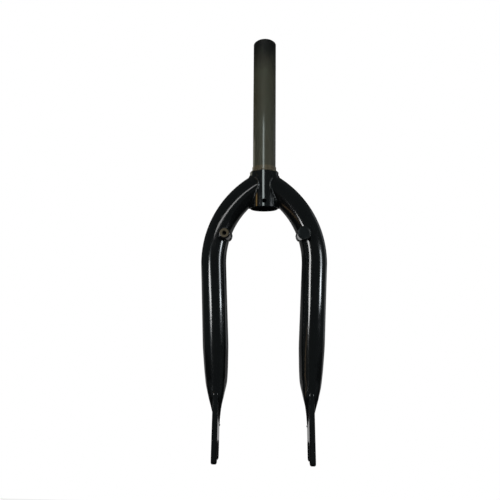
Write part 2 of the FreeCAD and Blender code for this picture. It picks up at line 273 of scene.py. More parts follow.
class ForkLegSizes(bpy.types.PropertyGroup):
    """Sizes of the bent legs"""

    diameter: length("Diameter", "Outside diameter of the leg tube", 0.0305)
    rake: angle("Rake", "Tilt of the legs' plane to the front", 4.2)
    toe_in: angle("Toe in", "Tilt of the straight legs towards each other", 2.7)
    bend_radius: length("Bend radius", "Radius of the bend at the tube's middle", 0.111)
    half_spread: length("Half spread", "From the steering axis to the end of the bend", 0.0611)
    bend_end_drop: length("Bend end drop", "From the crown shoulder down to the end of the bend", 0.1188)
    trim_at: length("Trim", "Distance past the bend at which the end is cut", 0.184)
    trim_angle: angle("Trim angle", "Slant of the cut end, with its inner side longer", 43.0)


class ForkPlateSizes(bpy.types.PropertyGroup):
    """Sizes of the dropout plates"""

    outside: length("Outside", "From the steering plane to the outer face of a plate", 0.057)
    thickness: length("Thickness", "Thickness of a plate", 0.0065)
    width: length("Width", "Width of a plate, front to back", 0.026)
    rise: length("Rise", "Height of a plate above the axle", 0.062)
    top_round: length("Top round", "Radius of the upper corners", 0.006)
    tilt: angle("Tilt", "Tilt of a plate to the front", 9.0)
    axle_offset: length("Axle offset", "Axle in front of the steering axis", 0.033)
    axle_drop: length("Axle drop", "Axle below the crown shoulder", 0.322)
    slot_width: length("Slot width", "Width of the axle slot", 0.010)
    prong: length("Prong", "Length of a prong below the axle, without its round tip", 0.012)
    prong_round: length("Prong round", "Radius at the tips of the prongs", 0.0038)
    edge: length("Edge", "Width of the rounded edges", 0.0018)


class ForkBossSizes(bpy.types.PropertyGroup):
    """Sizes of the brake bosses and the plug"""

    diameter: length("Diameter", "Outside diameter of a boss", 0.014)
    half_spread: length("Half spread", "From the steering axis to a boss", 0.0468)
    drop: length("Drop", "From the crown shoulder down to a boss, along the legs' plane", 0.0825)
    front: length("Front", "End face of a boss in front of the legs' plane", 0.024)
    face: length("Face", "Diameter of the bare end face", 0.0106)
    hole: length("Hole", "Diameter of the tapped hole", 0.005)
    depth: length("Depth", "Depth of the tapped hole", 0.008)
    pitch: length("Pitch", "Pitch of the thread", 0.001)
    plug: length("Plug", "Diameter of the black plug", 0.0160)
    plug_thickness: length("Plug thickness", "Thickness of the plug's head", 0.0024)


class ForkWeldSizes(bpy.types.PropertyGroup):
    """Sizes of the weld beads"""

    base_diameter: length("Base diameter", "Diameter of the thick base of the steerer", 0.036)
    crown: length("Crown bead", "Radius of the beads at the crown", 0.0014)
    boss: length("Boss bead", "Radius of the beads round the bosses", 0.0012)
    plate: length("Plate bead", "Radius of the beads at the plates", 0.0006)
    pitch: length("Ripple pitch", "Distance between two ripples", 0.0026)
    ripple: share("Ripple height", "Height of a ripple as a share of the bead's radius", 0.035)


class ForkFinish(bpy.types.PropertyGroup):
    """Colours and gloss of the fork and the floor"""

    paint: colour("Paint", "Gloss black paint", (0.0032, 0.0038, 0.0040))
    paint_roughness: share("Paint roughness", "Roughness of the paint", 0.12)
    steel: colour("Steel", "Raw oily steel of the steerer", (0.051, 0.051, 0.0355))
    # The dark steel colour is painted shade that darkens the top of the steerer.
    steel_top_shade: colour("Dark steel", "Painted shade at the top of the steerer", (0.006, 0.006, 0.005))
    seat: colour("Race seat", "Warm bare metal of the race seat", (0.085, 0.068, 0.040))
    face: colour("Boss face", "Bare end face of the open boss", (0.100, 0.082, 0.052))
    plug: colour("Plug", "Matte black plug", (0.005, 0.0070, 0.0075))
    floor: colour("Floor", "Pale floor and backdrop", (0.85, 0.85, 0.85))


class ForkStage(bpy.types.PropertyGroup):
    """Camera lens, room light, floor and backdrop"""

    lens: bpy.props.FloatProperty(
        name="Lens", description="Focal length on a 36 mm sensor", default=28.44, unit="CAMERA"
    )
    room: share("Room", "Brightness of the room as the object sees it", 0.10)
    sheen: share("Sheen", "Brightness of the backdrop's foot in reflections", 0.50)
    floor_drop: length("Floor drop", "Floor below the crown shoulder", 0.80)
    floor_end: length("Floor end", "Where the floor turns up, behind the steering axis", 1.20)


def frame_points(points, rake, side):
    """Points given as across, front and down in the raked plane of the legs, in the row frame."""
    across, front, down = points[..., 0], points[..., 1], points[..., 2]
    back = -front * math.cos(rake) - down * math.sin(rake)
    up = front * math.sin(rake) - down * math.cos(rake)
    return np.stack([across * side, back, up], axis=-1)


def full_turn(count):
    """Evenly spaced angles round a closed ring."""
    return np.linspace(0.0, 2 * math.pi, count, endpoint=False)


def smooth_steps(stations, values, at):
    """Cubic steps through the stations that never overshoot them."""
    stations, values = np.asarray(stations), np.asarray(values)
    gaps = np.diff(stations)
    slopes = np.diff(values) / gaps
    ends = np.zeros(len(values))
    for i in range(1, len(slopes)):
        if slopes[i - 1] * slopes[i] > 0:
            ends[i] = 2 * slopes[i - 1] * slopes[i] / (slopes[i - 1] + slopes[i])
    ends[-1] = slopes[-1]
    index = np.clip(np.searchsorted(stations, at) - 1, 0, len(gaps) - 1)
    t = (at - stations[index]) / gaps[index]
    start, stop = values[index], values[index + 1]
    rise = stop - start
    first, last = ends[index] * gaps[index], ends[index + 1] * gaps[index]
    return start + t * first + t * t * (3 * rise - 2 * first - last) + t ** 3 * (first + last - 2 * rise)


def leg_section(at):
    """Width, depth and forward shift of a leg at distances past its bend."""
    table = np.array(LEG_STATIONS)
    return [smooth_steps(table[:, 0], table[:, column], at) for column in (1, 2, 3)]


def bend_centre(leg):
    """Centre of the bend, as across and down."""
    across = leg.half_spread - leg.bend_radius * math.cos(leg.toe_in)
    return across, leg.bend_end_drop - leg.bend_radius * math.sin(leg.toe_in)


def bend_top(leg):
    """Angle at which the middle of the bend reaches the steering axis."""
    across, _ = bend_centre(leg)
    return -math.acos(-across / leg.bend_radius)


def bend_points(leg, turn, round_angle, radius):
    """Points on a round bar along the bend."""
    across, down = bend_centre(leg)
    arm = leg.bend_radius + radius * np.cos(round_angle)
    front = radius * np.sin(round_angle)
    return np.stack([across + arm * np.cos(turn), front, down + arm * np.sin(turn)], axis=-1)


def squeezed(wave, at):
    """A sine or cosine made squarer where the leg is pinched, so that its sides are flat there."""
    part = np.clip((at - PINCH_START) / PINCH_LENGTH, 0.0, 1.0)
    power = ROUND_POWER + (FLAT_POWER - ROUND_POWER) * part * part * (3 - 2 * part)
    return np.sign(wave) * np.abs(wave) ** (ROUND_POWER / power)


def straight_points(leg, at, round_angle):
    """Points on the straight and pinched part of a leg."""
    width, depth, shift = leg_section(at)
    out = width / 2 * squeezed(np.cos(round_angle), at)
    across = leg.half_spread - at * math.sin(leg.toe_in) + out * math.cos(leg.toe_in)
    down = leg.bend_end_drop + at * math.cos(leg.toe_in) + out * math.sin(leg.toe_in)
    return np.stack([across, depth / 2 * squeezed(np.sin(round_angle), at) + shift, down], axis=-1)


def leg_ends(leg, round_angle):
    """Distance past the bend at which each line along the leg meets the slanted cut."""
    at = np.full_like(round_angle, leg.trim_at)
    for _ in range(END_ROUNDS):
        width = leg_section(at)[0]
        at = leg.trim_at - width / 2 * squeezed(np.cos(round_angle), at) * math.tan(leg.trim_angle)
    return at


def tube_mesh(name, rings, sharp):
    """A closed skin over rings of points, with both ends capped."""
    rows, columns = rings.shape[:2]
    faces = []
    for row in range(rows - 1):
        for column in range(columns):
            following = (column + 1) % columns
            start, stop = row * columns, (row + 1) * columns
            faces.append((start + column, start + following, stop + following, stop + column))
    faces.append(tuple(range(columns)))
    faces.append(tuple(range((rows - 1) * columns, rows * columns)))
    mesh = bpy.data.meshes.new(name)
    mesh.from_pydata([tuple(point) for point in rings.reshape(-1, 3)], [], faces)
    finish_mesh(mesh, sharp)
    return mesh


def finish_mesh(mesh, sharp):
    """Faces outwards, smooth shading, and sharp edges above an angle in degrees."""
    work = bmesh.new()
    work.from_mesh(mesh)
    bmesh.ops.remove_doubles(work, verts=work.verts, dist=MERGE_GAP)
    bmesh.ops.recalc_face_normals(work, faces=work.faces)
    work.to_mesh(mesh)
    work.free()
    mesh.shade_smooth()
    mesh.set_sharp_from_angle(angle=math.radians(sharp))
    mesh.update()


def lathe_rings(profile, columns=96):
    """Rings of a turned shape from (radius, height) pairs, about +Z."""
    turn = full_turn(columns)
    rings = [
        np.stack([radius * np.cos(turn), radius * np.sin(turn), np.full(columns, height)], axis=-1)
        for radius, height in profile
    ]
    return np.array(rings)


def rounded_edge(radius, top, round_over, steps=8):
    """Profile of a rounded outer edge that ends at the top face."""
    turns = np.linspace(0.0, math.pi / 2, steps)
    return [
        (radius - round_over * (1 - math.cos(turn)), top - round_over * (1 - math.sin(turn)))
        for turn in turns
    ]


def add_piece(name, mesh, materials, replaced=()):
    """Links a finished mesh as a piece of the one body."""
    piece = bpy.data.objects.new(name, mesh)
    bpy.context.scene.collection.objects.link(piece)
    mesh.materials.clear()
    for material in materials:
        mesh.materials.append(material)
    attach(piece, "root")
    if replaced:
        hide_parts(*replaced)
    return piece


class NodeSheet:
    """Short words for adding and linking the nodes of one tree."""

    # Colour sockets of the Mix node, by number because its sockets for other kinds have the same names.
    MIX_FACTOR = 0
    MIX_FIRST = 6
    MIX_SECOND = 7
    MIX_RESULT = 2

    def __init__(self, tree):
        self.tree = tree

    def add(self, kind, **inputs):
        """A new node, with inputs set or linked by name."""
        node = self.tree.nodes.new(kind)
        for name, value in inputs.items():
            self.feed(node.inputs[name.replace("_", " ")], value)
        return node

    def feed(self, socket, value):
        """Links another socket to this one, or sets its value."""
        if isinstance(value, bpy.types.NodeSocket):
            self.tree.links.new(value, socket)
        else:
            socket.default_value = value

    def math(self, operation, first, second=0.0):
        """The result of one sum."""
        node = self.tree.nodes.new("ShaderNodeMath")
        node.operation = operation
        self.feed(node.inputs[0], first)
        self.feed(node.inputs[1], second)
        return node.outputs[0]

    def noise(self, vector, scale, detail=3.0, roughness=0.5):
        """Cloudy noise from 0 to 1."""
        node = self.add(
            "ShaderNodeTexNoise", Vector=vector, Scale=scale, Detail=detail, Roughness=roughness
        )
        return node.outputs["Fac"]

    def spread(self, value, low, high, start, stop):
        """A value that goes from start to stop while the given one goes from low to high."""
        node = self.add(
            "ShaderNodeMapRange", Value=value, From_Min=low, From_Max=high, To_Min=start, To_Max=stop
        )
        return node.outputs["Result"]

    def blend(self, factor, first, second):
        """A colour between two others."""
        node = self.tree.nodes.new("ShaderNodeMix")
        node.data_type = "RGBA"
        self.feed(node.inputs[self.MIX_FACTOR], factor)
        self.feed(node.inputs[self.MIX_FIRST], first)
        self.feed(node.inputs[self.MIX_SECOND], second)
        return node.outputs[self.MIX_RESULT]

    def overlay(self, factor, first, second):
        """A shader between two others."""
        node = self.tree.nodes.new("ShaderNodeMixShader")
        for socket, value in zip(node.inputs, (factor, first, second)):
            self.feed(socket, value)
        return node.outputs[0]

    def bump(self, height, strength, distance):
        """A normal bent by a height."""
        node = self.add("ShaderNodeBump", Height=height, Strength=strength, Distance=distance)
        return node.outputs["Normal"]

    def object_place(self):
        """The place on the object, in the row frame."""
        return self.tree.nodes.new("ShaderNodeTexCoord").outputs["Object"]

    def stretched(self, vector, scale):
        """A place with each axis scaled by itself."""
        return self.add("ShaderNodeMapping", Vector=vector, Scale=scale).outputs["Vector"]

    def parts(self, vector):
        """The sockets X, Y and Z of a place."""
        return self.add("ShaderNodeSeparateXYZ", Vector=vector).outputs


def new_material(name):
    """An empty node material and its sheet."""
    material = bpy.data.materials.new(name)
    material.use_nodes = True
    material.node_tree.nodes.clear()
    return material, NodeSheet(material.node_tree)


def rgba(colour_value, gain=1.0):
    """A colour for a socket, made lighter or darker by a gain."""
    return (*[min(1.0, part * gain) for part in colour_value], 1.0)


def paint_shader(nodes, finish, place):
    """Gloss black paint with a faint orange-peel skin."""
    peel = nodes.noise(place, scale=420.0, detail=2.0)
    drift = nodes.noise(place, scale=38.0)
    tone = nodes.blend(drift, rgba(finish.paint, gain=0.7), rgba(finish.paint, gain=1.35))
    smooth = finish.paint_roughness * (1 - GLOSS_DRIFT)
    rough = finish.paint_roughness * (1 + GLOSS_DRIFT)
    return nodes.add(
        "ShaderNodeBsdfPrincipled", Base_Color=tone,
        Roughness=nodes.spread(drift, *NOISE_BAND, smooth, rough), IOR=1.5,
        Normal=nodes.bump(peel, strength=0.03, distance=0.0004),
    ).outputs["BSDF"]


def steel_shader(nodes, finish, place):
    """Raw drawn steel with painted shade darkening its top, oil and fine lines along the tube."""
    height = nodes.parts(place)["Z"]
    lines = nodes.noise(nodes.stretched(place, (900.0, 900.0, 12.0)), scale=1.0, detail=4.0)
    stain = nodes.noise(nodes.stretched(place, (60.0, 60.0, 22.0)), scale=1.0, detail=5.0, roughness=0.6)
    # The mask named scale is painted shade: it turns the steel to the dark colour towards the top of the
    # steerer.
    uneven = nodes.math("MULTIPLY", nodes.math("SUBTRACT", stain, NOISE_MIDDLE), TOP_SHADE_WAVER)
    scale = nodes.spread(nodes.math("ADD", height, uneven), *TOP_SHADE_HEIGHTS, 0.0, 1.0)
    rusty = nodes.spread(stain, *STAIN_BAND, 0.0, 0.6)
    tone = nodes.blend(rusty, rgba(finish.steel), rgba(finish.seat, gain=0.6))
    tone = nodes.blend(scale, tone, rgba(finish.steel_top_shade))
    tone = nodes.blend(nodes.spread(height, *SEAT_HEIGHTS, 0.0, 1.0), tone, rgba(finish.seat))
    return nodes.add(
        "ShaderNodeBsdfPrincipled", Base_Color=tone, Metallic=0.25,
        Roughness=nodes.spread(lines, *NOISE_BAND, 0.48, 0.62), Specular_IOR_Level=0.25,
        Coat_Weight=nodes.spread(height, *OIL_HEIGHTS, OIL_WEIGHT, 0.0), Coat_Roughness=0.10,
        Normal=nodes.bump(lines, strength=0.10, distance=0.0002),
    ).outputs["BSDF"]


def paint_material(finish):
    """The paint of the legs, plates, bosses and beads."""
    material, nodes = new_material("gloss_black_paint")
    shader = paint_shader(nodes, finish, nodes.object_place())
    nodes.add("ShaderNodeOutputMaterial", Surface=shader)
    return material


def steerer_material(finish):
    """Bare steel above the crown, gloss paint below it, and a dull bore and cut end inside the paint."""
    material, nodes = new_material("steerer_steel_and_paint")
    place = nodes.object_place()
    parts = nodes.parts(place)
    height = parts["Z"]
    waver = nodes.math("MULTIPLY", nodes.noise(place, scale=90.0), PAINT_WAVER)
    edge = nodes.spread(nodes.math("ADD", height, waver), *PAINT_HEIGHTS, 0.0, 1.0)
    squares = [nodes.math("MULTIPLY", parts[axis], parts[axis]) for axis in "XY"]
    radius = nodes.math("SQRT", nodes.math("ADD", *squares))
    bore = nodes.spread(radius, *BORE_RADII, 0.0, 1.0)
    cut_end = nodes.spread(height, *CUT_END_HEIGHTS, 0.0, 1.0)
    dull = nodes.add("ShaderNodeBsdfDiffuse", Color=rgba(finish.paint)).outputs["BSDF"]
    gloss = paint_shader(nodes, finish, place)
    painted = nodes.overlay(nodes.math("MAXIMUM", bore, cut_end), gloss, dull)
    whole = nodes.overlay(edge, painted, steel_shader(nodes, finish, place))
    nodes.add("ShaderNodeOutputMaterial", Surface=whole)
    return material


def bare_material(finish):
    """Machined end face of the open boss, a little rusty."""
    material, nodes = new_material("bare_boss_face")
    rust = nodes.noise(nodes.object_place(), scale=500.0)
    rusty = nodes.spread(rust, *STAIN_BAND, 0.0, 1.0)
    tone = nodes.blend(rusty, rgba(finish.face), rgba(finish.face, gain=0.85))
    shader = nodes.add(
        "ShaderNodeBsdfPrincipled", Base_Color=tone, Metallic=0.2,
        Roughness=nodes.spread(rust, *NOISE_BAND, 0.32, 0.52), Specular_IOR_Level=0.25,
    )
    nodes.add("ShaderNodeOutputMaterial", Surface=shader.outputs["BSDF"])
    return material


def plug_material(finish):
    """Moulded matte black plastic."""
    material, nodes = new_material("matte_black_plug")
    grain = nodes.noise(nodes.object_place(), scale=1400.0)
    tone = nodes.blend(grain, rgba(finish.plug, gain=0.75), rgba(finish.plug, gain=1.3))
    shader = nodes.add(
        "ShaderNodeBsdfPrincipled", Base_Color=tone,
        Roughness=nodes.spread(grain, *NOISE_BAND, 0.28, 0.40), Specular_IOR_Level=0.4,
        Normal=nodes.bump(grain, strength=0.12, distance=0.0002),
    )
    nodes.add("ShaderNodeOutputMaterial", Surface=shader.outputs["BSDF"])
    return material


def shared(name, maker):
    """A material by its name, made when it is first asked for."""
    return bpy.data.materials.get(name) or maker(bpy.context.scene.fork_finish)


def paint():
    """The paint that most pieces share."""
    return shared("gloss_black_paint", paint_material)


def socket_id(tree, name):
    """Identifier of a named input of a node tree."""
    return next(item.identifier for item in tree.interface.items_tree if item.name == name)


def bead_tree():
    """Nodes that sweep a rippled weld bead along a curve."""
    tree = bpy.data.node_groups.get("Weld bead")
    if tree:
        return tree
    tree = bpy.data.node_groups.new("Weld bead", "GeometryNodeTree")
    tree.interface.new_socket("Geometry", in_out="INPUT", socket_type="NodeSocketGeometry")
    for name in ("Bead Radius", "Ripple Pitch", "Ripple Height"):
        tree.interface.new_socket(name, in_out="INPUT", socket_type="NodeSocketFloat")
    tree.interface.new_socket("Material", in_out="INPUT", socket_type="NodeSocketMaterial")
    tree.interface.new_socket("Geometry", in_out="OUTPUT", socket_type="NodeSocketGeometry")
    nodes = NodeSheet(tree)
    given = tree.nodes.new("NodeGroupInput").outputs
    resampled = tree.nodes.new("GeometryNodeResampleCurve")
    resampled.mode = "LENGTH"
    nodes.feed(resampled.inputs["Curve"], given["Geometry"])
    nodes.feed(resampled.inputs["Length"], nodes.math("DIVIDE", given["Ripple Pitch"], STEPS_PER_RIPPLE))
    along = tree.nodes.new("GeometryNodeSplineParameter").outputs["Length"]
    turns = nodes.math("MULTIPLY", nodes.math("DIVIDE", along, given["Ripple Pitch"]), 2 * math.pi)
    wave = nodes.math("MULTIPLY", nodes.math("SINE", turns), given["Ripple Height"])
    swell = nodes.math("MULTIPLY", nodes.math("ADD", wave, 1.0), given["Bead Radius"])
    ring = nodes.add("GeometryNodeCurvePrimitiveCircle", Resolution=BEAD_COLUMNS, Radius=1.0)
    swept = nodes.add(
        "GeometryNodeCurveToMesh", Curve=resampled.outputs[0], Profile_Curve=ring.outputs[0], Scale=swell,
        Fill_Caps=True,
    )
    smooth = nodes.add("GeometryNodeSetShadeSmooth", Geometry=swept.outputs[0])
    real = nodes.add("GeometryNodeRealizeInstances", Geometry=smooth.outputs[0])
    coated = nodes.add("GeometryNodeSetMaterial", Geometry=real.outputs[0], Material=given["Material"])
    nodes.add("NodeGroupOutput", Geometry=coated.outputs[0])
    return tree


def bead_mesh(name, path, material, closed, radius, pitch, ripple):
    """Runs the bead nodes on a curve through the path and keeps the result as a plain mesh."""
    curve = bpy.data.curves.new(name + "_path", "CURVE")
    curve.dimensions = "3D"
    spline = curve.splines.new("POLY")
    spline.points.add(len(path) - 1)
    spline.points.foreach_set("co", np.c_[path, np.ones(len(path))].ravel())
    spline.use_cyclic_u = closed
    guide = bpy.data.objects.new(name + "_path", curve)
    bpy.context.scene.collection.objects.link(guide)
    tree = bead_tree()
    modifier = guide.modifiers.new("sweep", "NODES")
    modifier.node_group = tree
    modifier[socket_id(tree, "Bead Radius")] = radius
    modifier[socket_id(tree, "Ripple Pitch")] = pitch
    modifier[socket_id(tree, "Ripple Height")] = ripple
    modifier[socket_id(tree, "Material")] = material
    evaluated = guide.evaluated_get(bpy.context.evaluated_depsgraph_get())
    mesh = bpy.data.meshes.new_from_object(evaluated)
    if not len(mesh.polygons):
        raise RuntimeError(f"{name} came out empty")
    mesh.name = name
    bpy.data.objects.remove(guide)
    bpy.data.curves.remove(curve)
    finish_mesh(mesh, SHARP["bead"])
    return mesh


class FORK_OT_steerer(bpy.types.Operator):
    """Steerer tube with its race seat, thick base and bolt hole"""

    bl_idname = "fork.steerer"
    bl_label = "Steerer"

    def execute(self, context):
        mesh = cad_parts["steerer_tube"].data.copy()
        mesh.name = "steerer"
        work = bmesh.new()
        work.from_mesh(mesh)
        bmesh.ops.remove_doubles(work, verts=work.verts, dist=SOLID_MERGE_GAP)
        work.to_mesh(mesh)
        work.free()
        facets = mesh.attributes.get("custom_normal")
        if facets:
            mesh.attributes.remove(facets)
        mesh.shade_smooth()
        mesh.set_sharp_from_angle(angle=math.radians(SHARP["steerer"]))
        skin = shared("steerer_steel_and_paint", steerer_material)
        add_piece("steerer", mesh, [skin], ["steerer_tube"])
        return {"FINISHED"}


class FORK_OT_legs(bpy.types.Operator):
    """Two bent tubes, pinched flat and cut on a slant at the lower end"""

    bl_idname = "fork.legs"
    bl_label = "Legs"

    def execute(self, context):
        leg = context.scene.fork_leg
        columns, bend_rows, straight_rows = 112, 96, 150
        round_angle = full_turn(columns)
        bends = [
            bend_points(leg, np.full(columns, turn), round_angle, leg.diameter / 2)
            for turn in np.linspace(bend_top(leg), leg.toe_in, bend_rows, endpoint=False)
        ]
        ends = leg_ends(leg, round_angle)
        straights = [
            straight_points(leg, part * ends, round_angle) for part in np.linspace(0.0, 1.0, straight_rows)
        ]
        rings = np.array(bends + straights)
        for side, sign in SIDES.items():
            mesh = tube_mesh(f"{side}_tube", frame_points(rings, leg.rake, sign), SHARP["tube"])
            add_piece(f"{side}_tube", mesh, [paint()], [f"{side}_leg"])
        return {"FINISHED"}


def rounded_outline(corners, steps=10):
    """Points of a closed outline whose corners (x, y, radius) are rounded."""
    points = []
    for index, (x, y, radius) in enumerate(corners):
        here = Vector((x, y))
        before = (Vector(corners[index - 1][:2]) - here).normalized()
        after = (Vector(corners[(index + 1) % len(corners)][:2]) - here).normalized()
        if radius <= 0.0:
            points.append(here)
            continue
        half = before.angle(after) / 2
        middle = here + (before + after).normalized() * radius / math.sin(half)
        first = here + before * radius / math.tan(half) - middle
        last = here + after * radius / math.tan(half) - middle
        sweep = first.angle_signed(last)
        for count in range(steps + 1):
            points.append(middle + Matrix.Rotation(-sweep * count / steps, 2) @ first)
    return points


class FORK_OT_plates(bpy.types.Operator):
    """Two dropout plates with an open axle slot and broken edges"""

    bl_idname = "fork.plates"
    bl_label = "Dropout plates"

    def execute(self, context):
        plate = context.scene.fork_plate
        flat = self.flat_plate(plate)
        standing = Matrix(((0, 0, -1, 0), (-1, 0, 0, 0), (0, 1, 0, 0), (0, 0, 0, 1)))
        tilted = Matrix.Rotation(-plate.tilt, 4, "X")
        axle = (plate.outside, -plate.axle_offset, -plate.axle_drop)
        place = Matrix.Translation(axle) @ tilted @ standing
        for side, sign in SIDES.items():
            mesh = flat.copy()
            mesh.name = f"{side}_plate"
            mesh.transform(Matrix.Diagonal((sign, 1.0, 1.0, 1.0)) @ place)
            finish_mesh(mesh, SHARP["plate"])
            piece = add_piece(f"{side}_plate", mesh, [paint()], [f"{side}_dropout"])
            weighted = piece.modifiers.new("flat faces", "WEIGHTED_NORMAL")
            weighted.keep_sharp = True
        bpy.data.meshes.remove(flat)
        return {"FINISHED"}

    def flat_plate(self, plate, arch_points=25):
        """A plate lying flat, with its axle at the origin, its slot open to -Y and its edges rounded."""
        half, slot = plate.width / 2, plate.slot_width / 2
        tip = -plate.prong - plate.prong_round
        arch = [
            (-slot * math.cos(turn), slot * math.sin(turn), 0.0)
            for turn in np.linspace(0.0, math.pi, arch_points)
        ]
        corners = [
            (half, tip, plate.prong_round), (half, plate.rise, plate.top_round),
            (-half, plate.rise, plate.top_round), (-half, tip, plate.prong_round),
            (-slot, tip, plate.prong_round), *arch, (slot, tip, plate.prong_round),
        ]
        work = bmesh.new()
        outline = [work.verts.new((point.x, point.y, 0.0)) for point in rounded_outline(corners)]
        grown = bmesh.ops.extrude_face_region(work, geom=[work.faces.new(outline)])["geom"]
        lifted = [item for item in grown if isinstance(item, bmesh.types.BMVert)]
        bmesh.ops.translate(work, verts=lifted, vec=(0.0, 0.0, plate.thickness))
        bmesh.ops.recalc_face_normals(work, faces=work.faces)
        # Only the two flat faces have more than four corners.
        rims = [edge for edge in work.edges if max(len(face.verts) for face in edge.link_faces) > 4]
        bmesh.ops.bevel(work, geom=rims, offset=plate.edge, segments=5, profile=0.5, affect="EDGES")
        flat = bpy.data.meshes.new("plate")
        work.to_mesh(flat)
        work.free()
        return flat


def boss_points(rings, boss, leg, side):
    """Turned rings about +Z, set on a boss axis with +Z to the front."""
    placed = np.stack(
        [rings[..., 0] + boss.half_spread, rings[..., 2], rings[..., 1] + boss.drop], axis=-1
    )
    return frame_points(placed, leg.rake, side)


class FORK_OT_bosses(bpy.types.Operator):
    """Two turned brake bosses; the left one shows its bare face and thread"""

    bl_idname = "fork.bosses"
    bl_label = "Brake bosses"

    def execute(self, context):
        boss, leg = context.scene.fork_boss, context.scene.fork_leg
        radius, face, hole = boss.diameter / 2, boss.face / 2, boss.hole / 2
        back = boss.front - BOSS_DEPTHS * boss.depth
        edge = rounded_edge(radius, boss.front, radius - face)
        body = [(radius, back), (radius, back + boss.depth)] + edge
        mouth = [
            (hole * (1 + MOUTH_FLARE), boss.front), (hole, boss.front - hole * MOUTH_FLARE),
            (hole, boss.front - boss.depth),
        ]
        bare = shared("bare_boss_face", bare_material)
        for side, sign in SIDES.items():
            profile = body + mouth if side == "left" else body
            rings = boss_points(lathe_rings(profile), boss, leg, sign)
            mesh = tube_mesh(f"{side}_boss", rings, SHARP["boss"])
            piece = add_piece(f"{side}_boss", mesh, [paint(), bare], [f"{side}_brake_boss"])
            if side == "left":
                self.bare_face(piece, boss, leg, sign, face)
        self.thread(boss, leg, SIDES["left"], bare)
        return {"FINISHED"}

    def bare_face(self, piece, boss, leg, sign, face):
        """Gives the end face and the mouth of the hole their bare metal."""
        axis = boss_points(np.array([[[0.0, 0.0, 0.0]]]), boss, leg, sign)[0, 0]
        ahead = boss_points(np.array([[[0.0, 0.0, 1.0]]]), boss, leg, sign)[0, 0] - axis
        for polygon in piece.data.polygons:
            away = np.array(polygon.center) - axis
            out = np.linalg.norm(away - ahead * (away @ ahead))
            if out < face and away @ ahead > boss.front - boss.pitch:
                polygon.material_index = 1

    def thread(self, boss, leg, sign, bare):
        """One helical ridge in the hole, swept by the bead nodes without ripples."""
        radius, pitch = boss.hole / 2, boss.pitch
        run = boss.depth - THREAD_SPARE * pitch
        turns = run / pitch
        along = np.linspace(0.0, 1.0, int(turns * RIDGE_STEPS_PER_TURN))
        around = along * turns * 2 * math.pi
        height = boss.front - THREAD_START * pitch - along * run
        helix = np.stack([radius * np.cos(around), radius * np.sin(around), height], axis=-1)
        path = boss_points(helix[None], boss, leg, sign)[0]
        mesh = bead_mesh("left_boss_ridge", path, bare, False, pitch * RIDGE_RADIUS, pitch, 0.0)
        add_piece("left_boss_ridge", mesh, [bare])


class FORK_OT_plug(bpy.types.Operator):
    """Black plug in the right boss, with a thin raised rim"""

    bl_idname = "fork.plug"
    bl_label = "Boss plug"

    def execute(self, context):
        boss, leg = context.scene.fork_boss, context.scene.fork_leg
        radius, front = boss.plug / 2, boss.front + PLUG_GAP
        top = front + boss.plug_thickness
        floor = top - PLUG_DISH[-1][1]
        under = [
            (radius * PLUG_UNDER_RING, front),
            (radius - PLUG_EDGE, front),
            (radius, front + PLUG_UNDER_EDGE),
        ]
        over = rounded_edge(radius, top - PLUG_GAP, PLUG_EDGE)
        dish = [(radius - inset, top - depth) for inset, depth in PLUG_DISH]
        middle = [(radius * part, floor + PLUG_SWELL * (1 - part)) for part in PLUG_DISH_RINGS]
        rings = lathe_rings(under + over + dish + middle)
        mesh = tube_mesh("plug", boss_points(rings, boss, leg, SIDES["right"]), SHARP["plug"])
        skin = shared("matte_black_plug", plug_material)
        add_piece("plug", mesh, [skin], ["boss_plug"])
        return {"FINISHED"}


class FORK_OT_welds(bpy.types.Operator):
    """Rippled beads at the crown, round the bosses and at the plates"""

    bl_idname = "fork.welds"
    bl_label = "Weld beads"

    def execute(self, context):
        scene = context.scene
        leg, weld, boss = scene.fork_leg, scene.fork_weld, scene.fork_boss
        routes = {
            "crown_bead": (self.crown_path(leg, weld), weld.crown, "crown_weld"),
            "boss_bead": (self.boss_path(leg, boss), weld.boss, "boss_weld"),
            "plate_bead": (self.plate_path(leg), weld.plate, None),
        }
        for side, sign in SIDES.items():
            for name, (route, radius, node) in routes.items():
                piece = f"{side}_{name}"
                path = frame_points(route, leg.rake, sign)
                mesh = bead_mesh(piece, path, paint(), True, radius, weld.pitch, weld.ripple)
                add_piece(piece, mesh, [paint()], [f"{side}_{node}"] if node else [])
        return {"FINISHED"}

    def crown_path(self, leg, weld, count=240):
        """Where the skin of the leg meets the side of the base."""
        round_angle = full_turn(count)
        low = np.full(count, bend_top(leg))
        high = np.full(count, leg.toe_in)
        for _ in range(CROWN_ROUNDS):
            middle = (low + high) / 2
            points = bend_points(leg, middle, round_angle, leg.diameter / 2)
            placed = frame_points(points, leg.rake, 1.0)
            outside = np.hypot(placed[:, 0], placed[:, 1]) > weld.base_diameter / 2
            high, low = np.where(outside, middle, high), np.where(outside, low, middle)
        return bend_points(leg, high, round_angle, leg.diameter / 2)

    def boss_path(self, leg, boss, count=160, least_square=1e-6):
        """Where the side of a boss meets the skin of the leg."""
        turn = full_turn(count)
        across = boss.half_spread + boss.diameter / 2 * np.cos(turn)
        down = boss.drop + boss.diameter / 2 * np.sin(turn)
        centre_across, centre_down = bend_centre(leg)
        off = np.hypot(across - centre_across, down - centre_down) - leg.bend_radius
        front = np.sqrt(np.maximum((leg.diameter / 2) ** 2 - off ** 2, least_square))
        return np.stack([across, front, down], axis=-1)

    def plate_path(self, leg, count=160):
        """Round the cut end of the leg, a little inside its rim."""
        round_angle = full_turn(count)
        rim = straight_points(leg, leg_ends(leg, round_angle), round_angle)
        return rim + (rim.mean(axis=0) - rim) * PLATE_BEAD_INSET


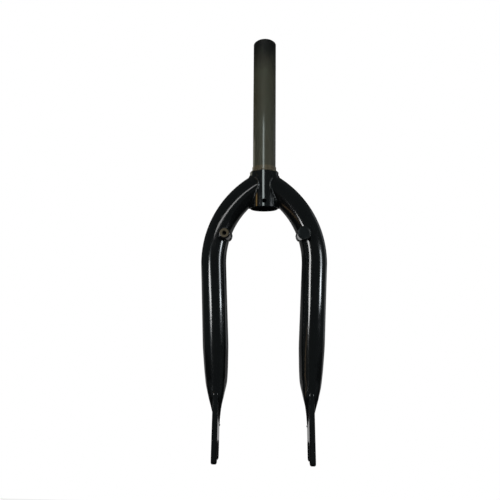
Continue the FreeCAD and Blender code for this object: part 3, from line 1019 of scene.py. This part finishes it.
class FORK_OT_stage(bpy.types.Operator):
    """Pale floor and backdrop, soft lamps, room light and the camera"""

    bl_idname = "fork.stage"
    bl_label = "Stage"

    def execute(self, context):
        scene, stage = context.scene, context.scene.fork_stage
        scene.view_settings.view_transform = "Standard"
        self.floor(scene, stage)
        self.room(scene, stage)
        for lamp in LAMPS:
            self.add_lamp(scene, lamp)
        self.camera(scene, stage)
        return {"FINISHED"}

    def floor(self, scene, stage):
        """A pale floor under the fork and a backdrop behind it, white or nearly so to the camera."""
        bottom, bend = -stage.floor_drop, stage.floor_end
        strip, back = bend - FLOOR_END_STRIP, bend + SWEEP_RADIUS
        rise = [
            (bend + SWEEP_RADIUS * math.sin(turn), bottom + SWEEP_RADIUS * (1 - math.cos(turn)))
            for turn in np.linspace(0.0, math.pi / 2, SWEEP_POINTS)
        ]
        foot, rest = rise[:SWEEP_FOOT_POINTS], rise[SWEEP_FOOT_POINTS - 1:]
        low_top = (back, LOW_BACKDROP_TOP)
        self.sheet(scene, "pale_floor", [(FLOOR_FRONT, bottom), (strip, bottom)], FLOOR_GLOW, FLOOR_SHEEN)
        self.sheet(scene, "pale_floor_end", [(strip, bottom), (bend, bottom)], FULL_GLOW, FLOOR_SHEEN)
        self.sheet(scene, "pale_sweep", foot, FULL_GLOW, stage.sheen)
        self.sheet(scene, "pale_backdrop", rest + [low_top], FULL_GLOW, LOW_BACKDROP_SHEEN)
        self.sheet(scene, "pale_backdrop_top", [low_top, (back, BACKDROP_TOP)], FULL_GLOW, BACKDROP_SHEEN)

    def sheet(self, scene, name, line, glow, sheen):
        """A wide sheet along a side view, with its own shares of plain white."""
        points = [(x, y, z) for y, z in line for x in (-FLOOR_HALF_WIDTH, FLOOR_HALF_WIDTH)]
        faces = [(2 * i, 2 * i + 1, 2 * i + 3, 2 * i + 2) for i in range(len(line) - 1)]
        mesh = bpy.data.meshes.new(name)
        mesh.from_pydata(points, [], faces)
        mesh.shade_smooth()
        mesh.materials.append(self.sheet_material(scene.fork_finish.floor, name, glow, sheen))
        piece = bpy.data.objects.new(name, mesh)
        scene.collection.objects.link(piece)

    def sheet_material(self, floor, name, glow, sheen):
        """Matte to the light, and plain white to the camera and to reflections by the given shares."""
        material, nodes = new_material(name)
        path = nodes.tree.nodes.new("ShaderNodeLightPath").outputs
        mirrored = nodes.math("MAXIMUM", path["Is Glossy Ray"], path["Is Transmission Ray"])
        seen = nodes.math("MAXIMUM", nodes.math("MULTIPLY", path["Is Camera Ray"], glow), mirrored)
        level = nodes.spread(mirrored, 0.0, 1.0, 1.0, sheen)
        grain = nodes.noise(nodes.object_place(), scale=30.0)
        tone = nodes.blend(grain, rgba(floor, gain=0.97), rgba(floor, gain=1.02))
        matte = nodes.add("ShaderNodeBsdfDiffuse", Color=tone).outputs["BSDF"]
        white = nodes.add("ShaderNodeEmission", Color=rgba(WHITE), Strength=level).outputs["Emission"]
        nodes.add("ShaderNodeOutputMaterial", Surface=nodes.overlay(seen, matte, white))
        return material

    def room(self, scene, stage):
        """An even room, white where the camera sees it."""
        world = bpy.data.worlds.new("room")
        world.use_nodes = True
        world.node_tree.nodes.clear()
        nodes = NodeSheet(world.node_tree)
        seen = nodes.tree.nodes.new("ShaderNodeLightPath").outputs["Is Camera Ray"]
        level = nodes.spread(seen, 0.0, 1.0, stage.room, 1.0)
        tint = nodes.blend(seen, rgba(ROOM_TINT), rgba(WHITE))
        light = nodes.add("ShaderNodeBackground", Color=tint, Strength=level)
        nodes.add("ShaderNodeOutputWorld", Surface=light.outputs[0])
        scene.world = world

    def add_lamp(self, scene, lamp):
        """One lamp of the table, turned to its target with its height along its direction."""
        light = bpy.data.lights.new(lamp.name, "AREA")
        light.shape = "RECTANGLE"
        light.size, light.size_y, light.energy = lamp.width, lamp.height, lamp.power
        light.color = lamp.tint
        back = (Vector(lamp.place) - Vector(lamp.target)).normalized()
        across = Vector(lamp.along).cross(back).normalized()
        turn = Matrix((across, back.cross(across), back)).transposed().to_4x4()
        holder = bpy.data.objects.new(lamp.name, light)
        holder.matrix_world = Matrix.Translation(lamp.place) @ turn
        scene.collection.objects.link(holder)
        if lamp.shaded:
            self.limit(holder, lamp.shaded, "EXCLUDE")
        if lamp.only:
            self.limit(holder, lamp.only, "INCLUDE")

    def limit(self, holder, names, state):
        """Shades the named pieces from a lamp, or all pieces but them."""
        pieces = bpy.data.collections.new(holder.name + "_flag")
        for name in names:
            pieces.objects.link(bpy.data.objects[name])
        holder.light_linking.receiver_collection = pieces
        for entry in pieces.collection_objects:
            entry.light_linking.link_state = state

    def camera(self, scene, stage):
        """The photograph's viewpoint, close in front of the fork."""
        data = bpy.data.cameras.new("camera")
        data.lens, data.sensor_width, data.clip_start = stage.lens, SENSOR_WIDTH, CLIP_START
        ahead, up = Vector(CAMERA_AHEAD).normalized(), Vector(CAMERA_UP).normalized()
        right = ahead.cross(up).normalized()
        turn = Matrix((right, right.cross(ahead), -ahead)).transposed().to_4x4()
        camera = bpy.data.objects.new("camera", data)
        camera.matrix_world = Matrix.Translation(CAMERA_PLACE) @ turn
        scene.collection.objects.link(camera)
        scene.camera = camera


class VIEW3D_PT_fork(bpy.types.Panel):
    """Sizes, finishes and build steps of the fork"""

    bl_label = "Fork"
    bl_space_type = "VIEW_3D"
    bl_region_type = "UI"
    bl_category = "Fork"

    def draw(self, context):
        for step in STEPS:
            self.layout.operator(step.bl_idname)
        for name in GROUPS:
            box = self.layout.box()
            box.label(text=name.replace("fork_", "").capitalize())
            settings = getattr(context.scene, name)
            for key in settings.bl_rna.properties.keys():
                if key not in ("rna_type", "name"):
                    box.prop(settings, key)


STEPS = (
    FORK_OT_steerer,
    FORK_OT_legs,
    FORK_OT_plates,
    FORK_OT_bosses,
    FORK_OT_plug,
    FORK_OT_welds,
    FORK_OT_stage,
)
GROUPS = {
    "fork_leg": ForkLegSizes,
    "fork_plate": ForkPlateSizes,
    "fork_boss": ForkBossSizes,
    "fork_weld": ForkWeldSizes,
    "fork_finish": ForkFinish,
    "fork_stage": ForkStage,
}


def register():
    """Adds the settings, the build steps and the panel to Blender."""
    for group in GROUPS.values():
        bpy.utils.register_class(group)
    for step in STEPS:
        bpy.utils.register_class(step)
    bpy.utils.register_class(VIEW3D_PT_fork)
    for name, group in GROUPS.items():
        setattr(bpy.types.Scene, name, bpy.props.PointerProperty(type=group))


def unregister():
    """Takes the settings, the build steps and the panel out again."""
    for name in GROUPS:
        delattr(bpy.types.Scene, name)
    bpy.utils.unregister_class(VIEW3D_PT_fork)
    for step in reversed(STEPS):
        bpy.utils.unregister_class(step)
    for group in reversed(list(GROUPS.values())):
        bpy.utils.unregister_class(group)


def main():
    """Builds the fork and its stage."""
    register()
    bpy.ops.fork.steerer()
    bpy.ops.fork.legs()
    bpy.ops.fork.plates()
    bpy.ops.fork.bosses()
    bpy.ops.fork.plug()
    bpy.ops.fork.welds()
    bpy.ops.fork.stage()


if __name__ == "__main__":
    main()
